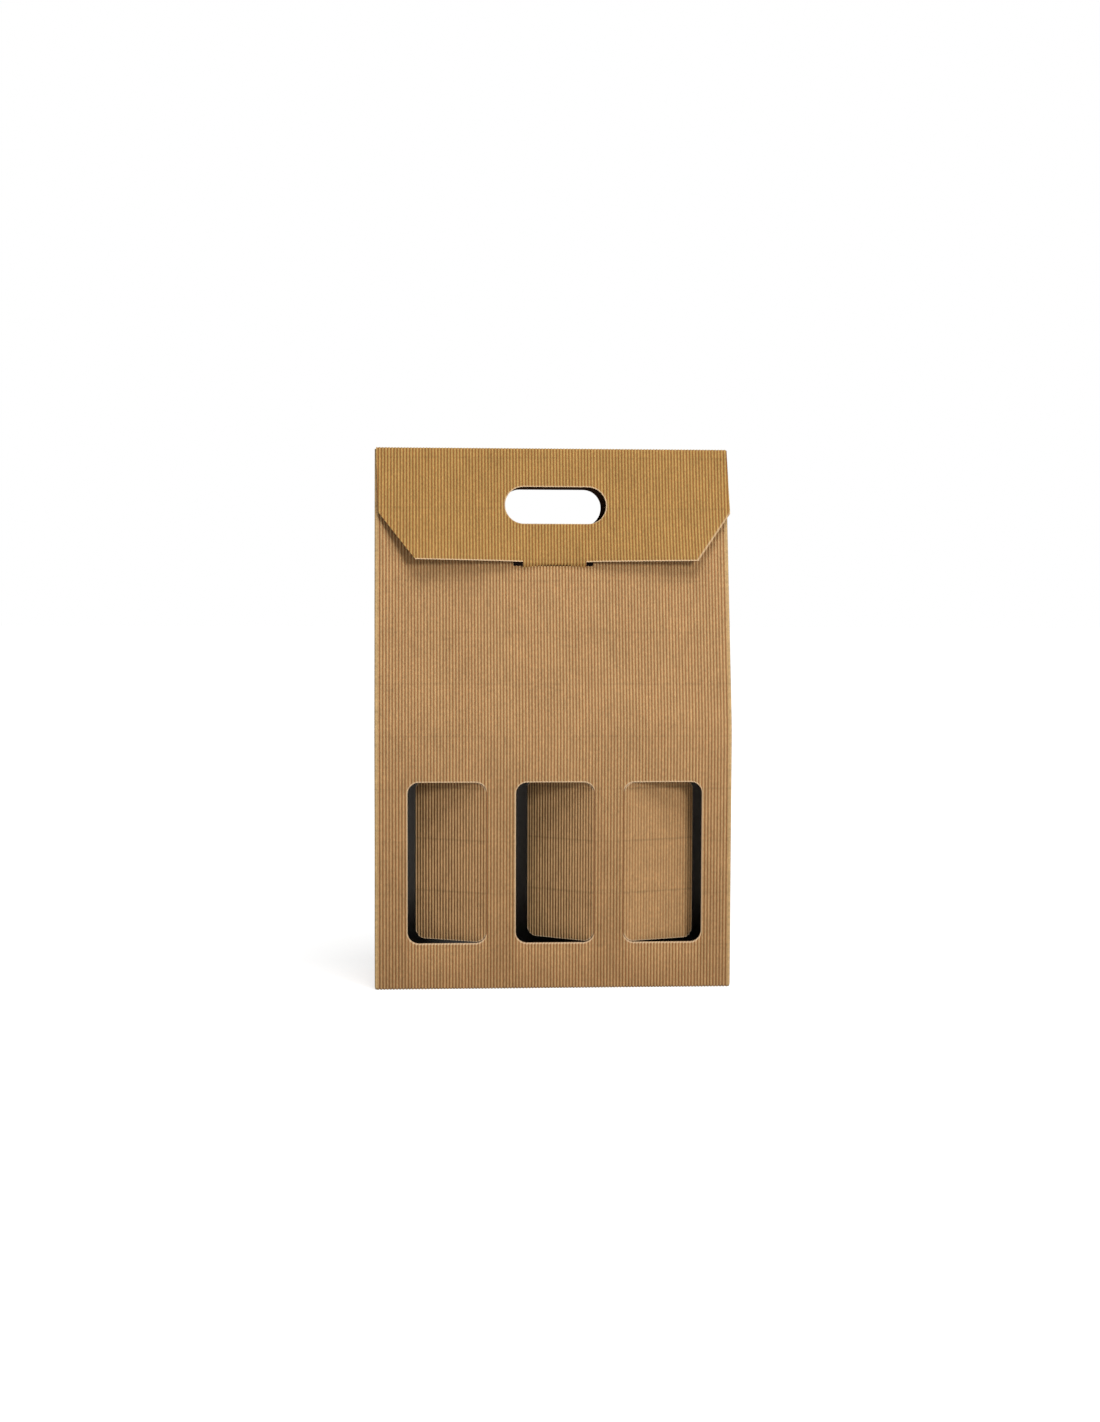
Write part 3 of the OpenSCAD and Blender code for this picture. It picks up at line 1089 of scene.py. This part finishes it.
@dataclass
class BoxBody:
    """Walls, gable, gussets, base flaps and glued tab of the box."""

    sizes: BoxSizes
    windows: WindowSizes
    lid: LidSizes
    hole: HoleSizes
    palette: Palette

    def build(self) -> list[bpy.types.Object]:
        """Models the body's sheets and returns them.

        Returns:
            The sheets.
        """
        front = self._front()
        rear = self._rear()
        sides = self._side()
        corners = self._corners()
        layers = self._gusset_layers()
        return [front, rear, *sides, *corners, *layers, self._tab()]

    def dress(self, parts: list[bpy.types.Object]) -> Piece:
        """Joins the sheets into the finished body."""
        body = Bench.join("box_body", parts)
        Bench.smooth(body)
        return Piece(body, "body")

    def _finishes(self) -> tuple[bpy.types.Material, bpy.types.Material, bpy.types.Material]:
        """Materials of a wall's outside, cut edges and inside."""
        return self.palette[Finish.KRAFT], self.palette[Finish.EDGE], self.palette[Finish.INSIDE]

    def _wall_folds(self, lean: float, base_z: float, soft: float) -> list[Fold]:
        """Folds of a wall into its base flap and into its leaning part.

        Args:
            lean: lean of the part above, in radians.
            base_z: height of the base fold.
            soft: bend radius of the upper fold.

        Returns:
            The folds.
        """
        return [
            Fold(self.sizes.wall, -lean, soft, Side.ABOVE, 8),
            Fold(base_z, math.pi / 2, self.sizes.crease, Side.BELOW, 5),
        ]

    def _front(self) -> bpy.types.Object:
        """Front wall with its windows, slope, hand hole, slot and the outer base flap.

        Returns:
            The sheet.
        """
        s, b = self.sizes, self.sizes.board
        base_z = b.thickness
        sheet = Sheet(
            "front", s.front_w, base_z - s.side_w - b.thickness / 2, s.wall + s.rise / math.cos(s.panel_lean), b,
            self._finishes(), self._wall_folds(s.panel_lean, base_z, s.wall_bend),
        )
        w, c = self.windows, Cutters(self.palette[Finish.EDGE])
        cuts = [
            lambda i=i: c.rounded(w.width, w.height, w.radius, 12 * MM, (w.centre(i).x, -s.half_d, w.centre(i).z))
            for i in (-1, 0, 1)
        ]
        cuts.append(self._hole_cutter(self.hole.front_x, -1))
        cuts.append(lambda: c.block((self.lid.slot_w, 8 * MM, 4.6 * MM), self._slot_centre(), -s.panel_lean))
        return sheet.finish(lambda obj: Bench.place(obj, (0, b.thickness - s.half_d, 0)), cuts)

    def _slot_centre(self) -> tuple[float, float, float]:
        """Middle of the slot in the front slope.

        Returns:
            The middle, as x, y and z.
        """
        s = self.sizes
        down = self.lid.length + 0.9 * MM
        return (
            self.lid.slot_x,
            -s.ridge_half - down * math.sin(s.panel_lean),
            s.height - down * math.cos(s.panel_lean),
        )

    def _hole_cutter(self, x: float, side: int) -> Callable[[], bpy.types.Object]:
        """Returns a maker of the hand hole's cutter for the front (-1) or the rear (1).

        Args:
            x: middle of the hole across the box.
            side: -1 for the front and 1 for the rear.

        Returns:
            The maker.
        """
        s, h = self.sizes, self.hole
        z = s.height - h.drop - (h.rear_down if side > 0 else 0)
        cutters = Cutters(self.palette[Finish.EDGE])
        return lambda: cutters.rounded(h.width, h.height, h.height / 2 - 0.02 * MM, 24 * MM, (x, side * 14 * MM, z))

    def _rear(self) -> bpy.types.Object:
        """Rear wall with its slope, hand hole and the middle base flap.

        Returns:
            The sheet.
        """
        s, b = self.sizes, self.sizes.board
        base_z = 2 * b.thickness
        sheet = Sheet(
            "rear", s.front_w, base_z - s.side_w + s.gap, s.wall + s.rise / math.cos(s.panel_lean), b,
            self._finishes(), self._wall_folds(s.panel_lean, base_z, s.wall_bend), start=REAR_START,
        )
        turned = lambda obj: Bench.place(obj, (0, s.half_d - b.thickness, 0), (0, 0, math.pi))
        return sheet.finish(turned, [self._hole_cutter(self.hole.rear_x, 1)])

    def _side(self) -> list[bpy.types.Object]:
        """The two side walls with the gussets folded in above them and their short base flaps.

        Returns:
            The two sheets.
        """
        s, b = self.sizes, self.sizes.board
        base_z = 3 * b.thickness
        length = s.rise / math.cos(s.gusset_lean)
        slope = math.cos(s.gusset_lean) * math.tan(s.panel_lean)
        start = s.side_w / 2 - b.thickness - s.gap
        normal = (math.cos(math.atan(slope)), math.sin(math.atan(slope)))
        sheet = Sheet(
            "side_right", s.side_w - s.gap, base_z - s.dust, s.wall + length, b, self._finishes(),
            self._wall_folds(s.gusset_lean, base_z, s.side_bend),
            [((sign * (start + 1.2 * MM), s.wall), (sign * normal[0], normal[1])) for sign in (-1, 1)],
            start=PLAIN_START,
        )
        right = sheet.finish(lambda obj: Bench.place(obj, (s.half_w - b.thickness, 0, 0), (0, 0, math.pi / 2)))
        return [right, Bench.mirror_copy(right, "side_left", "X")]

    def _corners(self) -> list[bpy.types.Object]:
        """Rounded folds up the corners and along the slopes' edges, where the board doubles back.

        Returns:
            The four rolls.
        """
        s, b = self.sizes, self.sizes.board
        top = s.wall + s.rise / math.cos(s.panel_lean)
        bottom = 0.4 * MM
        bpy.ops.mesh.primitive_cylinder_add(
            vertices=24, radius=b.thickness - 0.05 * MM, depth=top - bottom, end_fill_type="TRIFAN",
            location=(0, 0, (top + bottom) / 2),
        )
        roll = bpy.context.active_object
        roll.name = "corner"
        Bench.freeze(roll)
        fold = Fold(s.wall, -s.panel_lean, s.wall_bend, Side.ABOVE, 8)
        for z in [*fold.rows(), 1.1 * MM, 2.4 * MM]:
            Bench.slice(roll, (0, 0, z), (0, 0, 1))
        flat = Bench.coords(roll)
        for z, size in ((0.5 * MM, 0.5), (1.2 * MM, 0.82)):
            Bench.pick(roll, (flat[:, 2] < z) & (flat[:, 2] > z - 0.5 * MM))
            bpy.ops.transform.resize(value=(size, size, 1), center_override=(-0.2 * MM, 0, z))
            Bench.done()
        for z in fold.rows():
            Bench.pick(roll, flat[:, 2] - z > 1e-6)
            Bench.turn(fold.angle / fold.steps, "X", (0, 0, z))
            Bench.done()
        layer = roll.data.uv_layers.active
        layer.name = FLAT_UV
        loops = np.zeros(len(roll.data.loops), np.int32)
        roll.data.loops.foreach_get("vertex_index", loops)
        layer.data.foreach_set("uv", np.stack([np.full(len(loops), ROLL_START), flat[loops, 2]], 1).ravel())
        roll.data.materials.append(self.palette[Finish.KRAFT])
        Bench.place(roll, (s.half_w - b.thickness, b.thickness - s.half_d, 0))
        left = Bench.mirror_copy(roll, "corner_b", "X")
        return [roll, left, Bench.mirror_copy(roll, "corner_c", "Y"), Bench.mirror_copy(left, "corner_d", "Y")]

    def _gusset_layers(self) -> list[bpy.types.Object]:
        """Triangles folded back behind the slopes, with their flutes towards the gusset.

        Returns:
            The four triangles.
        """
        s, b = self.sizes, self.sizes.board
        length = s.rise / math.cos(s.gusset_lean)
        wide = s.half_d
        run = math.hypot(wide, length)
        sheet = Sheet(
            "layer_a", wide, 0.5 * MM, length - 2 * MM, b, self._finishes(), (),
            [((wide / 2 - 1.2 * MM, 0), (length / run, -wide / run))], start=PLAIN_START,
        )

        def place(obj: bpy.types.Object) -> None:
            """Lays the flat triangle against the inside of the slope."""
            Bench.place(obj, (s.half_w - b.thickness - wide / 2, 0, 0), (0, 0, math.pi))
            Bench.place(obj, (0, b.thickness - s.half_d, s.wall), (-s.panel_lean, 0, 0))

        first = sheet.finish(place)
        second = Bench.mirror_copy(first, "layer_b", "X")
        return [first, second, Bench.mirror_copy(first, "layer_c", "Y"), Bench.mirror_copy(second, "layer_d", "Y")]

    def _tab(self) -> bpy.types.Object:
        """Glued tab inside the left rear corner.

        Returns:
            The tab.
        """
        s, b = self.sizes, self.sizes.board
        cutters = Cutters(self.palette[Finish.LINER])
        low, high = 4 * b.thickness, s.wall
        return cutters.block(
            (b.thickness, s.tab, high - low),
            (1.5 * b.thickness - s.half_w, s.half_d - b.thickness - s.tab / 2, (low + high) / 2),
        )


@dataclass
class LidFlap:
    """Lid over the ridge, with the hand hole and the tongue."""

    sizes: BoxSizes
    lid: LidSizes
    hole: HoleSizes
    palette: Palette
    lift: tuple[float, float] = (19 * MM, 14 * MM)

    @property
    def turn(self) -> tuple[float, float]:
        """Inner corner where the lid turns down over the front, as y and z."""
        s, lean = self.sizes, self.sizes.panel_lean
        foot = (-s.ridge_half - self.lid.gap * math.cos(lean), s.ridge_z + self.lid.gap * math.sin(lean))
        up = (s.height - s.board.thickness - foot[1]) / math.cos(lean)
        return foot[0] + up * math.sin(lean), foot[1] + up * math.cos(lean)

    @property
    def hinge_y(self) -> float:
        """Place of the lid's fold line across the ridge."""
        return self.sizes.ridge_half - self.sizes.board.thickness / 2

    def build(self) -> list[bpy.types.Object]:
        """Models the lid's sheet and the round fold at the rear.

        Returns:
            The two parts.
        """
        s, b, l = self.sizes, self.sizes.board, self.lid
        back = self.hinge_y - self.turn[0]
        low = -l.length
        # The lid's cut edges take the dark brown painted shade
        sheet = Sheet(
            "lid", l.width + 4 * l.lean, low - l.tongue_l, back, b,
            (self.palette[Finish.LID], self.palette[Finish.LID_EDGE], self.palette[Finish.LINER]),
            [
                Fold(0, -(math.pi / 2 - s.panel_lean), s.crease, Side.ABOVE, 5),
                Fold(low, math.radians(84), s.crease, Side.BELOW, 5),
            ],
            self._trims(), (l.tongue_x - l.tongue_w / 2, l.tongue_x + l.tongue_w / 2, low + l.edge_up),
            warp=self._lift, rows=[-1 * MM, -3 * MM, *(low * k / 10 for k in range(1, 10))],
        )
        return [sheet.finish(self._place, self._cuts()), self._bead()]

    def dress(self, parts: list[bpy.types.Object]) -> Piece:
        """Joins the parts into the finished lid."""
        lid = Bench.join("box_lid", parts)
        Bench.smooth(lid)
        return Piece(lid, "lid")

    def _trims(self) -> list[tuple[Point, Point]]:
        """Planes that cut the flat sheet along its side edges and slanted corners.

        Returns:
            The planes, as the sheet's trims take them.
        """
        p = self.lid.outline()
        trims = []
        for a, b, sign in ((p[0], p[1], -1), (p[1], p[2], -1), (p[3], p[4], 1), (p[4], p[5], 1)):
            along = Vector((b[0] - a[0], b[1] - a[1])).normalized()
            trims.append((a, (-sign * along[1], sign * along[0])))
        return trims

    def _lift(self, obj: bpy.types.Object) -> None:
        """Bends the lower corners away from the front with a lattice.

        Args:
            obj: one flat layer of the lid.
        """
        low, span, deep = -self.lid.length - self.lid.tongue_l, 135 * MM, 30 * MM
        bpy.ops.object.add(type="LATTICE", location=(0, 0, low / 2))
        cage = bpy.context.active_object
        cage.scale = (2 * span, deep, -low)
        data = cage.data
        data.points_u, data.points_v, data.points_w = 7, 2, 7
        data.interpolation_type_u = data.interpolation_type_w = "KEY_CATMULL_ROM"
        for i, point in enumerate(data.points):
            x, z = i % 7 / 3 - 1, 1 - i // 14 / 6
            out = (self.lift[0] if x < 0 else self.lift[1]) * abs(x) ** 0.85 * z ** 3.4
            point.co_deform.y -= out / deep
        Bench.apply(obj, "LATTICE", object=cage)
        bpy.data.objects.remove(cage)

    def _place(self, obj: bpy.types.Object) -> None:
        """Moves the flat frame to the turn over the front."""
        Bench.place(obj, (0, *self.turn), (-self.sizes.panel_lean, 0, 0))

    def _cuts(self) -> list[Callable[[], bpy.types.Object]]:
        """Makers of the hand hole's cutter.

        Returns:
            One maker.
        """
        s, h = self.sizes, self.hole
        # The hole's cut faces take the dark brown painted shade
        c = Cutters(self.palette[Finish.LID_EDGE])
        centre = (h.lid_x, -14 * MM, s.height - h.drop)
        return [lambda: c.rounded(h.width, h.height, h.height / 2 - 0.02 * MM, 40 * MM, centre)]

    def _bead(self) -> bpy.types.Object:
        """Round fold along the rear edge of the ridge.

        Returns:
            The fold.
        """
        s, l = self.sizes, self.lid
        radius = s.board.thickness / 2
        bpy.ops.mesh.primitive_cylinder_add(
            vertices=20, radius=radius, depth=l.width, end_fill_type="TRIFAN",
            location=(l.shift, self.hinge_y, s.height - radius), rotation=(0, math.pi / 2, 0),
        )
        bead = bpy.context.active_object
        Bench.freeze(bead)
        layer = bead.data.uv_layers.active
        layer.name = FLAT_UV
        layer.data.foreach_set("uv", np.tile([ROLL_START, -3 * MM], len(bead.data.loops)))
        bead.data.materials.append(self.palette[Finish.LID])
        return bead


@dataclass
class WindowFlap:
    """A window's cut-out, hinged along one edge and pushed in."""

    name: str
    index: int
    hinge_side: int
    angle: float
    sizes: BoxSizes
    windows: WindowSizes
    palette: Palette
    curl: Curl | None = None

    def build(self) -> bpy.types.Object:
        """Models the flap flat in its window and turns it in about its hinge.

        Returns:
            The flap.
        """
        s, w = self.sizes, self.windows
        centre = w.centre(self.index)
        inner = s.board.thickness - s.half_d
        room = 2 * s.gap
        c = Cutters(self.palette[Finish.EDGE])
        sheet = Sheet(
            self.name, w.width, w.bottom, w.bottom + w.height, s.board,
            (self.palette[Finish.KRAFT], self.palette[Finish.EDGE], self.palette[Finish.LINER]),
            curl=self.curl, start=FLAP_START + (RIGHT_STEP if self.hinge_side < 0 else 0),
        )
        hinge = Vector((centre.x + self.hinge_side * w.width / 2, inner, 0))

        def place(obj: bpy.types.Object) -> None:
            """Moves the flat flap into its window."""
            Bench.place(obj, (centre.x, inner, 0))

        shut = self.hinge_side * (s.gap - 0.03 * MM) / 2
        plate = lambda: c.rounded(
            w.width - s.gap - 0.03 * MM, w.height - room, w.radius - s.gap, 30 * MM,
            (centre.x + shut, inner, centre.z),
        )
        flap = sheet.finish(place, [plate], "INTERSECT")
        Bench.place(flap, -hinge)
        Bench.place(flap, hinge, (0, 0, -self.hinge_side * math.radians(self.angle)))
        return flap

    def dress(self, flap: bpy.types.Object) -> Piece:
        """Finishes the flap."""
        Bench.smooth(flap)
        return Piece(flap, self.name)


# Set


@dataclass(frozen=True)
class CameraView:
    """Where the photo was taken from, with angles in degrees."""

    place: tuple[float, float, float] = (-0.1028, -1.4936, 0.2893)
    yaw: float = 3.93
    pitch: float = 3.55
    roll: float = 0.20
    focal_px: float = 2053.0
    frame_px: tuple[int, int] = (1100, 1422)

    def build(self) -> bpy.types.Object:
        """Places the camera.

        Returns:
            The camera.
        """
        yaw, pitch, roll = (math.radians(a) for a in (self.yaw, self.pitch, self.roll))
        forward = Vector((math.sin(yaw) * math.cos(pitch), math.cos(yaw) * math.cos(pitch), -math.sin(pitch)))
        right = Vector((math.cos(yaw), -math.sin(yaw), 0))
        up = right.cross(forward)
        right, up = (
            right * math.cos(roll) + up * math.sin(roll),
            up * math.cos(roll) - right * math.sin(roll),
        )
        bpy.ops.object.camera_add(location=self.place)
        camera = bpy.context.active_object
        camera.name = "photo_camera"
        camera.rotation_euler = Matrix((right, up, -forward)).transposed().to_euler()
        camera.data.sensor_width = 36
        camera.data.lens = self.focal_px * 36 / max(self.frame_px)
        camera.data.clip_start, camera.data.clip_end = 0.05, 50
        bpy.context.scene.camera = camera
        return camera


@dataclass(frozen=True)
class Studio:
    """Pale floor, white surround and soft lights."""

    key_power: float = 18.8
    key_place: tuple[float, float, float] = (1.12, -1.85, 1.00)
    key_size: float = 0.44
    top_power: float = 38.0
    top_place: tuple[float, float, float] = (0.28, -1.07, 2.66)
    top_size: float = 1.2
    sky: float = 0.12
    glow_near: float = 0.72

    def build(self) -> None:
        """Makes the floor, the lights and the white surround."""
        bpy.ops.mesh.primitive_plane_add(size=24, location=(0, 0, 0))
        floor = bpy.context.active_object
        floor.name = "floor"
        floor.data.materials.append(self._floor_material())
        floor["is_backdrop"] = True
        self._lamp("key_light", self.key_place, self.key_size, self.key_power)
        self._lamp("top_light", self.top_place, self.top_size, self.top_power)
        self._surround()

    @staticmethod
    def _seen(n: Nodes) -> bpy.types.NodeSocket:
        """Returns 1 for rays from the camera, also by way of a mirror or glass, and 0 for the rest."""
        path = n.add("ShaderNodeLightPath").outputs
        through = n.math("MAXIMUM", path["Is Glossy Ray"], path["Is Transmission Ray"])
        return n.math("MAXIMUM", path["Is Camera Ray"], through)

    def _floor_material(self) -> bpy.types.Material:
        """Pale floor that runs into the white background but keeps the shadow near the box.

        Returns:
            The material.
        """
        material = bpy.data.materials.new(Finish.FLOOR.value)
        material.use_nodes = True
        n = Nodes(material.node_tree)
        diffuse = n.add("ShaderNodeBsdfDiffuse", {"Color": (0.78, 0.78, 0.78, 1)}).outputs[0]
        place = n.add("ShaderNodeTexCoord").outputs["Object"]
        far = n.add("ShaderNodeVectorMath", {0: place}, operation="LENGTH").outputs["Value"]
        strength = n.ramp(far, 0.3, 0.9, self.glow_near, 1.0)
        glow = n.add("ShaderNodeEmission", {"Color": (1, 1, 1, 1), "Strength": strength}).outputs[0]
        both = n.add("ShaderNodeAddShader", {0: diffuse, 1: glow}).outputs[0]
        seen = n.add("ShaderNodeMixShader", {0: self._seen(n), 1: diffuse, 2: both}).outputs[0]
        n.add("ShaderNodeOutputMaterial", {0: seen})
        return material

    @staticmethod
    def _lamp(name: str, place: Sequence[float], size: float, power: float) -> None:
        """Adds a square lamp that points at the middle of the box.

        Args:
            name: the lamp's name.
            place: where it hangs.
            size: length of its sides.
            power: its power in watts.
        """
        bpy.ops.object.light_add(type="AREA", location=place)
        lamp = bpy.context.active_object
        lamp.name = name
        lamp.data.size = size
        lamp.data.energy = power
        aim = Vector((0, 0, 0.19)) - Vector(place)
        lamp.rotation_euler = aim.to_track_quat("-Z", "Y").to_euler()

    def _surround(self) -> None:
        """White surround: bright to the camera, softer as a light."""
        world = bpy.data.worlds.new("surround")
        bpy.context.scene.world = world
        world.use_nodes = True
        n = Nodes(world.node_tree)
        strength = n.add("ShaderNodeMix", {0: self._seen(n), 2: self.sky, 3: 1.0}).outputs[0]
        back = n.add("ShaderNodeBackground", {"Color": (1, 1, 1, 1), "Strength": strength})
        n.add("ShaderNodeOutputWorld", {0: back.outputs[0]})


def corners() -> list[list[float]]:
    """Returns the scene's bounds as plain lists."""
    return [[float(v) for v in p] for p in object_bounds()]


def main() -> None:
    """Builds the box and its set around the CAD frame."""
    logging.basicConfig(level=logging.INFO, format="%(message)s")
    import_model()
    sizes, windows, lid, hole = BoxSizes(), WindowSizes(), LidSizes(), HoleSizes()
    palette = Palette()

    body = BoxBody(sizes, windows, lid, hole, palette)
    body.dress(body.build()).mount()
    cover = LidFlap(sizes, lid, hole, palette)
    cover.dress(cover.build()).mount()
    for name, index, side, bend in (("left", -1, 1, 15), ("middle", 0, 1, 13), ("right", 1, -1, 24)):
        curl = Curl(-side * (windows.width / 2 - CURL_INSET), math.radians(bend), CURL_REACH)
        flap = WindowFlap(
            "window_flap_" + name, index, side, windows.open_angles[index + 1], sizes, windows, palette, curl,
        )
        flap.dress(flap.build()).mount()

    Studio().build()
    CameraView().build()
    bpy.context.scene.view_settings.view_transform = "Standard"


if __name__ == "__main__":
    main()
